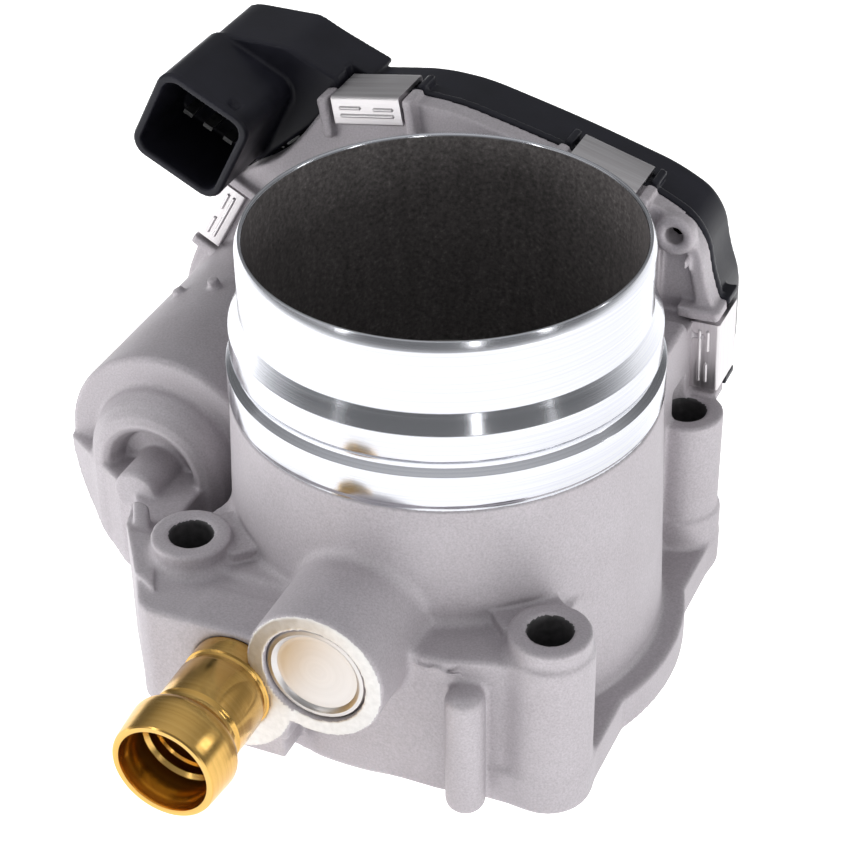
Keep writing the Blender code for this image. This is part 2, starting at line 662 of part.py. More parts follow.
def make_throttle_gear():
    """Toothed sector with its web and hub on the end of the throttle shaft."""
    shaft = (0.0, SHAFT_Z)
    toward_idler = angle_to(shaft, IDLER)
    phase = toward_idler + math.pi / LARGE_TEETH
    rim = gear_outline(COARSE_MODULE, LARGE_TEETH, shaft, phase)
    gear = case_plate("throttle_gear", [rim], 41.4, 46.2, NYLON)
    keep = [(0.0, SHAFT_Z)] + arc(0.0, SHAFT_Z, 27.0, math.degrees(toward_idler) - 96,
                                   math.degrees(toward_idler) + 20, 16)
    boolean(gear, case_plate("sector_keep", [keep], 40.0, 48.0), "INTERSECT")
    join(gear, rod("gear_hub", 6.2, 41.4, 51.6, 0.0, SHAFT_Z, segments=32))
    cut(gear, rod("gear_bore", SHAFT_R + GAP, 38.0, 49.4, 0.0, SHAFT_Z, segments=32))
    return gear


# ---- valve -------------------------------------------------------------------------------
def make_valve():
    shaft = rod("throttle_shaft", SHAFT_R, -45.8, 49.1, 0.0, SHAFT_Z, STEEL, 40)
    slot_y = BORE_R - 0.1
    cut(shaft, box("plate_slot", (-6, -slot_y, SHAFT_Z - 1.3), (6, slot_y, SHAFT_Z + 1.3)))
    disc = cylinder("throttle_plate", BORE_R - 0.35, -1.0, 1.0, upright(0, 0, SHAFT_Z), BRASS, 72)
    made = [shaft, disc]
    for i, y in enumerate((-11.0, 11.0)):
        spot = upright(0.0, y, SHAFT_Z)
        cut(shaft, cylinder(f"shaft_flat_{i}", 3.4, SHAFT_R - 0.7, 8.0, spot, segments=24))
        cut(shaft, cylinder(f"shaft_screw_hole_{i}", 1.8, -8.0, 8.0, spot, segments=16))
        cut(disc, cylinder(f"plate_screw_hole_{i}", 1.8, -8.0, 8.0, spot, segments=16))
        head = SHAFT_R - 0.7 + GAP
        profile = [(0.0, head + 1.6), (2.1, head + 1.6), (2.8, head + 1.0), (2.8, head), (1.5, head),
                   (1.5, -3.6), (1.2, -3.9), (0.0, -3.9)]
        made.append(turned(f"plate_screw_{i + 1}", profile, spot, STEEL, 20))
    made.append(make_throttle_gear())
    made.append(rod("sensor_magnet", 4.6, 51.9, 53.2, 0.0, SHAFT_Z, DARK, 28))
    return made


def make_bearings():
    outer = BEARING_BORE_R - GAP
    for name, y0, y1 in (("front_bearing", -45.6, -39.0), ("rear_bearing", 37.1, 41.0)):
        ring = [(outer, -y0), (outer, -y1), (SHAFT_R + GAP, -y1), (SHAFT_R + GAP, -y0)]
        turned(name, ring, along_y(0.0, SHAFT_Z), STEEL, 28)
    for name, y0, y1 in (("front_shaft_seal", -38.7, -36.8), ("rear_shaft_seal", 34.8, 36.8)):
        ring = [(outer, -y0), (outer, -y1), (SHAFT_R + GAP, -y1), (SHAFT_R + GAP, -y0)]
        turned(name, ring, along_y(0.0, SHAFT_Z), RUBBER, 28)


def make_return_spring():
    """Torsion spring round the sector's hub."""
    turns, per_turn, radius, wire = 3.5, 14, 7.9, 1.0
    curve = bpy.data.curves.new("return_spring", "CURVE")
    curve.dimensions = "3D"
    curve.bevel_depth = wire / 2 * MM
    curve.bevel_resolution = 1
    curve.use_fill_caps = True
    spline = curve.splines.new("POLY")
    count = int(turns * per_turn) + 1
    spline.points.add(count - 1)
    for i, point in enumerate(spline.points):
        angle = 2 * math.pi * i / per_turn
        rise = 47.1 + 3.9 * i / (count - 1)
        point.co = (radius * math.cos(angle) * MM, rise * MM, (SHAFT_Z + radius * math.sin(angle)) * MM, 1.0)
    item = bpy.data.objects.new("return_spring", curve)
    bpy.context.scene.collection.objects.link(item)
    to_mesh(item, STEEL)


def make_sensor_board():
    """Board over the magnet, held under the cover's ceiling."""
    outline = [(x, z + SHAFT_Z) for x, z in rounded_rectangle(13.0, 15.0, 3.0, 3)]
    case_plate("sensor_board", [outline], 53.6, COVER_CEILING_Y - GAP, BOARD)


def make_motor_rotor():
    shaft = rod("motor_shaft", 1.5, -4.6, 51.8, MOTOR_X, MOTOR_Z, STEEL, 20)
    core = [(10.6, -9.0), (10.6, -29.0), (4.2, -29.0), (4.2, -36.0), (1.8, -36.0), (1.8, -9.0)]
    armature = turned("motor_armature", core, along_y(MOTOR_X, MOTOR_Z), COPPER, 24)
    return [shaft, armature, make_motor_pinion()]


def on_axis(name, x, z, items):
    """Hang moving pieces on an empty that stands on their joint's axis."""
    pivot = bpy.data.objects.new(name, None)
    pivot.location = Vector((x, 0.0, z)) * MM
    PARTS.objects.link(pivot)
    bpy.context.view_layer.update()
    for item in items:
        item.parent = pivot
        item.matrix_parent_inverse = pivot.matrix_world.inverted()


make_housing()
make_core_plug()
make_hose_nipple()
make_gear_cover()
make_cover_seal()
make_connector_pins()
make_clips()
make_motor()
make_bearings()
make_return_spring()
make_sensor_board()
on_axis("throttle_axis", 0.0, SHAFT_Z, make_valve())
on_axis("intermediate_axis", *IDLER, [make_intermediate_gear()])
on_axis("motor_axis", MOTOR_X, MOTOR_Z, make_motor_rotor())
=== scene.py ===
import json
import math

import bmesh
import bpy
import numpy as np
from mathutils import Matrix, Vector


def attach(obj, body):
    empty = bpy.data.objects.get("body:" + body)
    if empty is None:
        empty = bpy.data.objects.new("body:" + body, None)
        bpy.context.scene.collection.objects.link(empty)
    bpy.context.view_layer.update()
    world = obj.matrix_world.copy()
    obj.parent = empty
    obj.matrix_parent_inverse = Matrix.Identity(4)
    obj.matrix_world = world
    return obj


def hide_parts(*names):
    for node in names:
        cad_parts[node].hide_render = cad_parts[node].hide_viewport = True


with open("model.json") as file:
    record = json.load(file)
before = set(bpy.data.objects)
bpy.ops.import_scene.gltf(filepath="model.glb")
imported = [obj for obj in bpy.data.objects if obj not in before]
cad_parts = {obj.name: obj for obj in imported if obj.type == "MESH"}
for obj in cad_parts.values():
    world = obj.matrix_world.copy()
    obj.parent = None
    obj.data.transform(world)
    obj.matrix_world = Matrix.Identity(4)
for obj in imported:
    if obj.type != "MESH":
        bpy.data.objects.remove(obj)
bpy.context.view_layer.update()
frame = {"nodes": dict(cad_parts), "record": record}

MM = 0.001
STEP = 0.42               # grid pitch of the cast and moulded shapes, in millimetres
BORE_R, RIM_Z = 31.0, 76.2
COATED_FROM_Z = 36.5      # the bore's coating reaches down to here
SLEEVE_Z = 31.3           # the spigot's sleeve ends above the throttle shaft
SHAFT_Z, SHAFT_HOLE_R = 26.6, 4.3
PLUG_BOSS_R, PLUG_BORE_R = 11.2, 8.3
BOLT_X, BOLT_Y, BOSS_R, BOSS_TOP, BOLT_HOLE_R = 30.3, 31.5, 6.42, 31.3, 3.54
DECK_Z = 27.7             # top of the front block and of the deck behind it
PORT_X, PORT_Z, PORT_BOSS_R, PORT_BORE_R = -15.2, 19.1, 11.3, 7.2
MOTOR_X, MOTOR_Z, MOTOR_TUBE_R, MOTOR_BORE_R = -49.7, 23.7, 19.0, 14.4
CASE_BACK_Y, CASE_SEAT_Y, COVER_TOP_Y = 38.0, 42.0, 56.9
CASE_WALL = 2.6
SOCKET_X, SOCKET_Z, SOCKET_TILT = -58.0, 68.7, 27.0
CASE_CORNERS = [
    (-38.0, 73.0), (-42.5, 66.5), (-48.0, 60.0), (-57.5, 54.5), (-65.8, 39.5),
    (-69.6, 30.0), (-69.8, 18.0), (-66.0, 8.6), (-59.5, 4.2), (-52.0, 3.4),
    (13.0, 3.4), (20.5, 8.0), (26.5, 14.5), (30.0, 22.0), (32.9, 31.0), (32.6, 46.5),
    (30.6, 52.0), (29.5, 58.0), (26.5, 62.3), (20.0, 65.7), (3.0, 70.7),
    (-15.0, 75.0), (-23.5, 75.4),
]
CLIPS = {                 # x, z and the tilt in degrees of each clip's outward direction
    "cover_clip_top_left": (-30.75, 74.2, 9.4),
    "cover_clip_top_right": (11.5, 68.2, -16.4),
    "cover_clip_right": (32.75, 38.9, -88.9),
    "cover_clip_upper_left": (-61.65, 47.0, 61.0),
}
BOLTS = [(sx * BOLT_X, sy * BOLT_Y) for sx in (-1, 1) for sy in (-1, 1)]


# ---- outlines ------------------------------------------------------------------------------
def rounded(points, radius, steps=5):
    """Round each corner of a closed outline."""
    result = []
    for i, point in enumerate(points):
        here = Vector(point)
        before = Vector(points[i - 1]) - here
        after = Vector(points[(i + 1) % len(points)]) - here
        reach = min(radius, before.length * 0.45, after.length * 0.45)
        start = here + before.normalized() * reach
        end = here + after.normalized() * reach
        for k in range(steps + 1):
            t = k / steps
            spot = start * (1 - t) ** 2 + here * 2 * t * (1 - t) + end * t ** 2
            result.append((spot.x, spot.y))
    return result


CASE = rounded(CASE_CORNERS, 8.0)


# ---- shapes as distance fields -------------------------------------------------------------
def outline_distance(x, y, outline):
    """Signed distance to a closed outline, negative inside."""
    best = np.full(np.broadcast(x, y).shape, 1e9, np.float32)
    inside = np.zeros(best.shape, bool)
    for (x0, y0), (x1, y1) in zip(outline, outline[1:] + outline[:1]):
        ex, ey = x1 - x0, y1 - y0
        wx, wy = x - x0, y - y0
        t = np.clip((wx * ex + wy * ey) / (ex * ex + ey * ey + 1e-12), 0, 1)
        best = np.minimum(best, (wx - ex * t) ** 2 + (wy - ey * t) ** 2)
        if abs(ey) > 1e-9:
            crosses = ((y0 > y) != (y1 > y)) & (x < ex * (y - y0) / ey + x0)
            inside ^= crosses
    return np.where(inside, -np.sqrt(best), np.sqrt(best))


def between(flat, across, low, high, edge=0.3):
    """Give a flat shape a thickness from low to high, with rounded edges."""
    a = flat + edge
    b = np.abs(across - (low + high) / 2) - (high - low) / 2 + edge
    return np.minimum(np.maximum(a, b), 0) + np.hypot(np.maximum(a, 0), np.maximum(b, 0)) - edge


def upright_prism(outline, low, high, edge=0.5):
    return lambda x, y, z: between(outline_distance(x, y, outline), z, low, high, edge)


def case_prism(outline, y0, y1, edge=0.5):
    return lambda x, y, z: between(outline_distance(x, z, outline), y, y0, y1, edge)


def post(px, py, radius, low, high, edge=0.3):
    return lambda x, y, z: between(np.hypot(x - px, y - py) - radius, z, low, high, edge)


def rod(px, pz, radius, y0, y1, edge=0.3):
    return lambda x, y, z: between(np.hypot(x - px, z - pz) - radius, y, y0, y1, edge)


def in_frame(turn, x, y, z):
    """The same points as seen from a turned and moved frame."""
    m = np.array(turn.inverted())
    return [m[i][0] * x + m[i][1] * y + m[i][2] * z + m[i][3] for i in range(3)]


def slab(low, high, edge=0.3, turn=None):
    """A box, optionally drawn in a turned and moved frame given by a matrix."""
    middle = [(a + b) / 2 for a, b in zip(low, high)]
    half = [(b - a) / 2 - edge for a, b in zip(low, high)]

    def shape(x, y, z):
        if turn is not None:
            x, y, z = in_frame(turn, x, y, z)
        d = [np.abs(v - c) - h for v, c, h in zip((x, y, z), middle, half)]
        outside = np.sqrt(sum(np.maximum(v, 0) ** 2 for v in d))
        return outside + np.minimum(np.maximum(np.maximum(d[0], d[1]), d[2]), 0) - edge
    return shape


def arched(px, pz, outline, edge=0.3):
    """A profile of (radius, y) points spun over an axis, with straight legs below it."""
    return lambda x, y, z: outline_distance(
        np.hypot(x - px, np.maximum(z - pz, 0)), y + 0 * x + 0 * z, outline) - edge


class Clay:
    """A solid held as distances on a grid, added to and cut with soft corners."""

    def __init__(self, low, high, step=STEP):
        self.low = low
        self.step = step
        self.axes = [np.arange(a, b + step, step, dtype=np.float32) for a, b in zip(low, high)]
        self.field = np.full([len(a) for a in self.axes], 1e3, np.float32)

    def window(self, low, high, pad):
        """The grid cells of a box, widened by pad."""
        cells = []
        for axis, a, b in zip(self.axes, low, high):
            first = int(np.searchsorted(axis, a - pad))
            last = int(np.searchsorted(axis, b + pad))
            cells.append(slice(max(first, 0), max(last, first + 1)))
        return tuple(cells)

    def blend(self, shape, low, high, soft, cut):
        """Join or cut a shape within a box, over a corner as wide as soft."""
        pick = self.window(low, high, soft + 3.0)
        x = self.axes[0][pick[0]][:, None, None]
        y = self.axes[1][pick[1]][None, :, None]
        z = self.axes[2][pick[2]][None, None, :]
        new = shape(x, y, z).astype(np.float32)
        old = self.field[pick]
        if cut:
            old = -old
        if soft > 0:
            h = np.clip(0.5 + 0.5 * (old - new) / soft, 0, 1)
            merged = old * (1 - h) + new * h - soft * h * (1 - h)
        else:
            merged = np.minimum(old, new)
        self.field[pick] = -merged if cut else merged

    def add(self, shape, low, high, soft=1.0):
        self.blend(shape, low, high, soft, False)

    def cut(self, shape, low, high, soft=0.3):
        self.blend(shape, low, high, soft, True)

    def mesh(self, name):
        """One vertex for each grid cell that the surface crosses, joined by quads."""
        f = self.field
        inside = f < 0
        corners = [(a, b, c) for a in (0, 1) for b in (0, 1) for c in (0, 1)]
        total = sum(inside[a:a + inside.shape[0] - 1, b:b + inside.shape[1] - 1,
                           c:c + inside.shape[2] - 1].astype(np.int8)
                    for a, b, c in corners)
        cells = np.argwhere((total > 0) & (total < 8))
        number = np.full(total.shape, -1, np.int32)
        number[tuple(cells.T)] = np.arange(len(cells))
        spot = np.zeros((len(cells), 3))
        count = np.zeros(len(cells))
        for p in corners:
            for axis in range(3):
                if p[axis]:
                    continue
                q = list(p)
                q[axis] = 1
                fp = f[tuple((cells + p).T)]
                fq = f[tuple((cells + q).T)]
                hit = (fp < 0) != (fq < 0)
                t = np.where(hit, fp / np.where(fp == fq, 1, fp - fq), 0)
                for k in range(3):
                    spot[:, k] += hit * (p[k] + (t if k == axis else 0))
                count += hit
        spot = (spot / count[:, None] + cells) * self.step + np.array(self.low)
        faces = []
        for axis in range(3):
            a = [slice(0, -1)] * 3
            b = [slice(0, -1)] * 3
            a[axis], b[axis] = slice(0, -1), slice(1, None)
            start, end = inside[tuple(a)], inside[tuple(b)]
            for flip in (False, True):
                hit = np.argwhere((start & ~end) if not flip else (~start & end))
                u, v = (axis + 1) % 3, (axis + 2) % 3
                hit = hit[(hit[:, u] > 0) & (hit[:, v] > 0)]
                ring = []
                for du, dv in ((0, 0), (1, 0), (1, 1), (0, 1)):
                    cell = hit.copy()
                    cell[:, u] -= du
                    cell[:, v] -= dv
                    ring.append(number[tuple(cell.T)])
                quad = np.stack(ring if not flip else ring[::-1], 1)
                faces.append(quad)
        faces = np.concatenate(faces)
        faces = faces[(faces >= 0).all(1)]
        mesh = bpy.data.meshes.new(name)
        mesh.vertices.add(len(spot))
        mesh.vertices.foreach_set("co", (spot * MM).astype(np.float32).ravel())
        mesh.loops.add(len(faces) * 4)
        mesh.loops.foreach_set("vertex_index", faces.ravel().astype(np.int32))
        mesh.polygons.add(len(faces))
        mesh.polygons.foreach_set("loop_start", np.arange(0, len(faces) * 4, 4, dtype=np.int32))
        mesh.update(calc_edges=True)
        mesh.validate()
        mesh.shade_smooth()
        return mesh


def clip_turn(x, z, tilt):
    return Matrix.Translation((x, 0.0, z)) @ Matrix.Rotation(-math.radians(tilt), 4, "Y")


def inset(points, distance):
    """Move an outline inwards by a distance."""
    count = len(points)
    area = sum(points[i - 1][0] * points[i][1] - points[i][0] * points[i - 1][1]
               for i in range(count))
    side = 1.0 if area > 0 else -1.0
    moved = []
    for i in range(count):
        here = Vector(points[i])
        ahead = (Vector(points[(i + 1) % count]) - here).normalized()
        behind = (here - Vector(points[i - 1])).normalized()
        middle = (ahead + behind).normalized()
        normal = Vector((-middle.y, middle.x)) * side
        stretch = max(0.5, normal.dot(Vector((-ahead.y, ahead.x)) * side))
        moved.append(tuple(here + normal * distance / stretch))
    return moved


# ---- cast housing --------------------------------------------------------------------------
def flange_shape(x, y, z):
    """Square flange with round corners about the bolts, and the disc round the bore."""
    corner = 6.67
    qx = np.abs(x) - (BOLT_X + corner) + corner
    qy = np.abs(y) - (BOLT_Y + corner) + corner
    square = np.hypot(np.maximum(qx, 0), np.maximum(qy, 0)) - corner
    square = square + np.minimum(np.maximum(qx, qy), 0)
    disc = np.hypot(x, y) - 40.0
    return between(np.minimum(square, disc), z, 0.0, 6.5, 0.5)


def barrel_shape(x, y, z):
    """Slightly tapered wall round the bore."""
    radius = 36.0 - (z - 6.5) * (1.5 / 42.0)
    return between(np.hypot(x, y) - radius, z + 0 * x, 1.0, 48.5, 0.2)


def gusset_shape(x, y, z):
    """Lower left web that closes the motor end and runs out to its stub."""
    outline = [(-69.5, -4.0), (-69.0, -5.4), (-54.4, -14.4), (-50.5, -15.5), (-46.0, -22.0),
               (-40.0, -24.0), (-40.0, -2.0)]
    web = between(outline_distance(x, y, outline), z, 3.0, 23.2, 0.4)
    tube = np.hypot(x - MOTOR_X, z - MOTOR_Z) - 18.9
    beside = MOTOR_X - x + 0 * z
    return np.maximum(web, np.minimum(tube, beside))


def fin_shape(x, y, z):
    """Wall from the motor's stub to the corner of the hose port block, rising as it goes."""
    outline = [(-51.6, -15.0), (-47.2, -13.0), (-41.2, -24.6), (-30.9, -42.8), (-35.9, -40.1),
               (-44.6, -28.0)]
    top = 20.5 + np.clip(-17.0 - y, 0, 14.0) * ((DECK_Z - 20.0) / 14.0) + 0 * x
    return np.maximum(outline_distance(x, y, outline) + 0 * z, np.maximum(z - top, 4.0 - z))


def bearing_block_shape(x, y, z):
    """Solid between the barrel and the gear case that carries the rear shaft bearing."""
    outline = [(-30.0, 20.0), (-30.0, 39.0), (29.0, 39.0), (29.0, 20.0)]
    return between(outline_distance(x, y, outline), z, 2.0, 46.5, 1.0)


def motor_dome_shape(x, y, z):
    """Arched ring and disc on the motor's end, kept inside the tube behind them."""
    profile = [(13.5, -4.0), (13.2, -6.6), (12.4, -8.8), (10.9, -10.6), (9.4, -11.2), (8.3, -10.6),
               (7.5, -9.2), (7.1, -7.6), (6.9, -7.2), (0.0, -7.2), (0.0, -3.0)]
    arch = arched(MOTOR_X, MOTOR_Z, profile, 0.25)
    return np.maximum(arch(x, y, z), np.hypot(x - MOTOR_X, z - MOTOR_Z) - 18.5)


def port_boss_shape(x, y, z):
    """Boss of the hose port, with its upper left set back and its top level with the deck."""
    trim = Matrix.Translation((PORT_X, 0.0, PORT_Z)) @ Matrix.Rotation(math.radians(-38), 4, "Y")
    boss = rod(PORT_X, PORT_Z, PORT_BOSS_R, -50.0, -38.0, 0.35)
    crop = slab((-20, -60, -1.5), (20, -46.5, 20), 0.3, trim)
    set_back = np.maximum(boss(x, y, z), -crop(x, y, z))
    return np.maximum(set_back, z - DECK_Z + 0.5 + 0 * x)


def flash_shape(x, y, z):
    """Uneven ridge that the mould's parting line leaves on the front wall."""
    line = 26.0 + 0.25 * np.sin(1.7 * x) + 0.15 * np.sin(4.3 * x)
    return np.maximum(np.abs(z - line) - 0.3, np.abs(y + 40.7) - 0.4)


def under_flange_shape(x, y, z):
    """Everything below the manifold face."""
    return z + 0 * x + 0 * y


def add_barrel(clay):
    clay.add(barrel_shape, (-36, -36, 0), (36, 36, 49), 0)
    clay.add(flange_shape, (-40, -40, 0), (40, 40, 7), 0.9)
    clay.add(bearing_block_shape, (-30, 20, 2), (29, 39, 47), 2.5)


def add_motor_tube(clay):
    tube = rod(MOTOR_X, MOTOR_Z, MOTOR_TUBE_R, -5.0, 40.0, 1.1)
    clay.add(tube, (-69, -5, 4), (-30, 40, 43), 2.5)
    foot = [(-47.0, -3.0), (-47.0, 30.0), (-28.0, 30.0), (-28.0, -3.0)]
    clay.add(upright_prism(foot, 2.0, 15.0, 1.0), (-47, -3, 2), (-28, 30, 16), 3.0)


def add_front_block(clay):
    """Deck between the front bosses, the hose port's block, and the pocket behind its fin."""
    deck = rounded([(30.3, -37.6), (24.0, -37.9), (17.5, -40.3), (15.0, -40.5), (-6.0, -40.5),
                    (-8.0, -34.0), (-28.0, -34.0), (-34.0, -26.0), (-30.0, -12.0),
                    (30.0, -12.0)], 2.0)
    clay.add(upright_prism(deck, 1.0, DECK_Z, 0.7), (-34, -41, 1), (31, -12, 28), 1.6)
    block = rounded([(-7.0, -46.6), (-7.0, -30.0), (-28.0, -26.0), (-40.5, -22.5), (-46.5, -22.5),
                     (-35.6, -40.6), (-32.6, -45.4), (-30.4, -46.8)], 1.0)
    clay.add(upright_prism(block, 8.0, DECK_Z - 0.4, 0.8), (-47, -47, 8), (-7, -22, 28), 1.2)
    skirt = inset(block, 1.2)
    clay.add(upright_prism(skirt, 3.0, 14.0, 0.8), (-47, -47, 3), (-7, -22, 14), 1.0)
    pocket = rounded([(-45.5, -19.0), (-36.0, -34.5), (-35.0, -30.0), (-36.5, -24.0),
                      (-38.5, -16.0)], 1.5)
    clay.cut(upright_prism(pocket, 13.0, 34.0, 0.8), (-46, -35, 13), (-35, -16, 34), 1.2)
    clay.add(fin_shape, (-52, -43, 4), (-30, -15, 29), 0.35)


def add_motor_end(clay):
    clay.add(gusset_shape, (-70, -25, 3), (-40, -2, 24), 0.6)
    clay.add(motor_dome_shape, (-64, -13, 8), (-36, -3, 38), 1.0)
    stub = rod(MOTOR_X, MOTOR_Z - 1.0, 4.3, -16.4, -4.5, 0.8)
    clay.add(stub, (-55, -17, 17), (-44, -4, 28), 0.6)


def add_bolt_bosses(clay):
    """The four bosses, each with a wider foot, and the low steps beside the front two."""
    for px, py in BOLTS:
        low, high = (px - 7, py - 7, 0), (px + 7, py + 7, 32)
        foot_top = DECK_Z + 0.4 if py < 0 else 12.0
        clay.add(post(px, py, BOSS_R + 0.5, 0.5, foot_top, 0.5), low, high, 1.2)
        clay.add(post(px, py, BOSS_R, 0.5, BOSS_TOP, 0.25), low, high, 1.0)
    for side in (-1, 1):
        step = rounded([(side * 23.2, -32.4), (side * 30.5, -24.0), (side * 27.0, -21.0),
                        (side * 19.0, -28.5)], 0.6)
        middle = side * 24.7
        clay.add(upright_prism(step, 20.0, 29.8, 0.3),
                 (middle - 7, -33, 20), (middle + 7, -20, 30), 0.4)


def add_front_bosses(clay):
    plug_boss = rod(0.0, SHAFT_Z, PLUG_BOSS_R, -50.0, -28.0, 0.35)
    clay.add(plug_boss, (-11, -50, 15), (11, -28, 38), 1.8)
    clay.add(port_boss_shape, (-27, -50, 7), (-3, -38, 31), 0.8)
    clay.add(post(20.8, -41.6, 3.1, 1.0, 24.0, 1.8), (17, -45, 0), (24, -38, 25), 1.2)
    clay.add(flash_shape, (-4, -42, 25), (17, -40, 27), 0.15)


def cut_bores(clay):
    """The case's pocket, the bore, the motor's space, and every drilled hole."""
    pocket = case_prism(inset(CASE_CORNERS, CASE_WALL), 40.5, 60.0, 0.3)
    clay.cut(pocket, (-70, 40, 3), (35, 44, 76), 0.2)
    clay.cut(post(0, 0, BORE_R + 0.9, SLEEVE_Z, 90.0), (-33, -33, 30), (33, 33, 80), 0.2)
    clay.cut(post(0, 0, BORE_R, -9.0, 90.0, 0.1), (-33, -33, -2), (33, 33, 80), 0.1)
    motor_space = rod(MOTOR_X, MOTOR_Z, MOTOR_BORE_R, -3.0, 60.0)
    clay.cut(motor_space, (-65, -3, 9), (-35, 44, 39), 0.2)
    motor_nose = rod(MOTOR_X, MOTOR_Z, 5.1, -6.4, 0.0, 0.1)
    clay.cut(motor_nose, (-56, -7, 17), (-43, 0, 31), 0.1)
    clay.cut(rod(0.0, SHAFT_Z, PLUG_BORE_R, -60.0, -46.0, 0.2), (-9, -51, 17), (9, -46, 36), 0.2)
    clay.cut(under_flange_shape, (-72, -52, -1.2), (42, 44, 3), 0)
    clay.cut(rod(0.0, SHAFT_Z, SHAFT_HOLE_R, -47.0, 60.0, 0.2), (-5, -47, 22), (5, 44, 31), 0.2)
    clay.cut(rod(0.0, SHAFT_Z, 7.8, 34.5, 60.0, 0.2), (-8, 34, 18), (8, 44, 35), 0.2)
    clay.cut(rod(PORT_X, PORT_Z, PORT_BORE_R, -60.0, -40.0, 0.2), (-23, -51, 11), (-7, -40, 27), 0.3)
    clay.cut(rod(25.0, 61.0, 1.6, 30.0, 60.0, 0.1), (23, 34, 59), (27, 44, 63), 0.15)
    for px, py in BOLTS:
        hole = post(px, py, BOLT_HOLE_R, -9.0, 50.0, 0.2)
        clay.cut(hole, (px - 4, py - 4, -2), (px + 4, py + 4, 33), 0.35)


def housing_clay():
    clay = Clay((-71.5, -51.2, -1.0), (41.2, 43.5, 77.5))
    add_barrel(clay)
    add_motor_tube(clay)
    add_front_block(clay)
    add_motor_end(clay)
    add_bolt_bosses(clay)
    add_front_bosses(clay)
    case_plate = case_prism(CASE, CASE_BACK_Y, CASE_SEAT_Y, 0.35)
    clay.add(case_plate, (-70, 38, 3), (35, 42, 76), 1.0)
    add_case_details(clay)
    cut_bores(clay)
    return clay


def pip_shape(turn):
    """A short round pip that stands along a frame's own Z."""
    def shape(x, y, z):
        lx, ly, lz = in_frame(turn, x, y, z)
        return between(np.hypot(lx, ly) - 1.1, lz, -2.0, 1.3, 0.4)
    return shape


def add_case_details(clay):
    """Ribs, recess, drilled ear, clip posts and the two small pips of the gear case."""
    for x in (24.4, 27.0):
        rib = slab((x - 0.6, 36.0, 30.0), (x + 0.6, 39.0, 57.0), 0.3)
        clay.add(rib, (x - 1, 36, 30), (x + 1, 39, 57), 0.4)
    recess = [(22.4, 45.0), (29.2, 45.0), (28.4, 50.0), (26.8, 57.0), (22.4, 57.0)]
    clay.cut(case_prism(recess, 30.0, 39.4, 0.3), (21, 37, 44), (30, 40, 58), 0.3)
    clay.add(rod(25.0, 61.0, 3.5, 36.2, 39.0, 0.35), (21, 36, 57), (29, 39, 65), 1.0)
    clay.add(slab((25.2, 36.6, 42.0), (31.4, 39.0, 43.2), 0.3), (25, 36, 41), (32, 39, 44), 0.4)
    for x, z, tilt in CLIPS.values():
        turn = clip_turn(x, z, tilt)
        for side in (-1, 1):
            low, high = (side * 8.1 - 1.0, 36.4, -6.5), (side * 8.1 + 1.0, 41.6, 0.9)
            clip_post = slab(low, high, 0.4, turn)
            clay.add(clip_post, (x - 12, 36, z - 12), (x + 12, 42, z + 12), 0.6)
    for y, x, z in ((20.0, -52.9, 48.2 - 5.6), (19.0, -59.3, 40.7 - 0.9)):
        tilt = math.atan2(x - MOTOR_X, z - MOTOR_Z)
        turn = Matrix.Translation((x, y, z)) @ Matrix.Rotation(tilt, 4, "Y")
        clay.add(pip_shape(turn), (x - 3, y - 3, z - 3), (x + 3, y + 3, z + 3), 0.5)


def make_housing():
    mesh = housing_clay().mesh("cast_body")
    body = bpy.data.objects.new("cast_body", mesh)
    bpy.context.scene.collection.objects.link(body)
    mesh.materials.append(cast_metal())
    mesh.materials.append(faced_metal())
    # The third material is near-black: painted shade for the dark inside of the bolt holes.
    painted_hole_shade = plain_detail("painted_hole_shade", (0.05, 0.05, 0.05), (0.10, 0.095, 0.10), 0.3, 0.6)
    mesh.materials.append(painted_hole_shade)
    count = len(mesh.polygons)
    normal = np.zeros(count * 3, np.float32)
    centre = np.zeros(count * 3, np.float32)
    mesh.polygons.foreach_get("normal", normal)
    mesh.polygons.foreach_get("center", centre)
    n, c = normal.reshape(-1, 3), centre.reshape(-1, 3) / MM
    faced = (n[:, 1] < -0.97) & (c[:, 1] < -49.9) | (n[:, 2] < -0.97) & (c[:, 2] < 0.1)
    faced |= np.hypot(c[:, 0], c[:, 1]) < BORE_R + 0.2
    from_bolt = np.hypot(np.abs(c[:, 0]) - BOLT_X, np.abs(c[:, 1]) - BOLT_Y)
    # Bolt-hole walls below the boss tops take that near-black material as painted shade.
    drilled = (from_bolt < 3.8) & (c[:, 2] < BOSS_TOP - 0.3) & (np.abs(n[:, 2]) < 0.6)
    mesh.polygons.foreach_set("material_index", np.where(drilled, 2, faced).astype(np.int32))
    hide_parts("throttle_housing")
    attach(body, "housing")


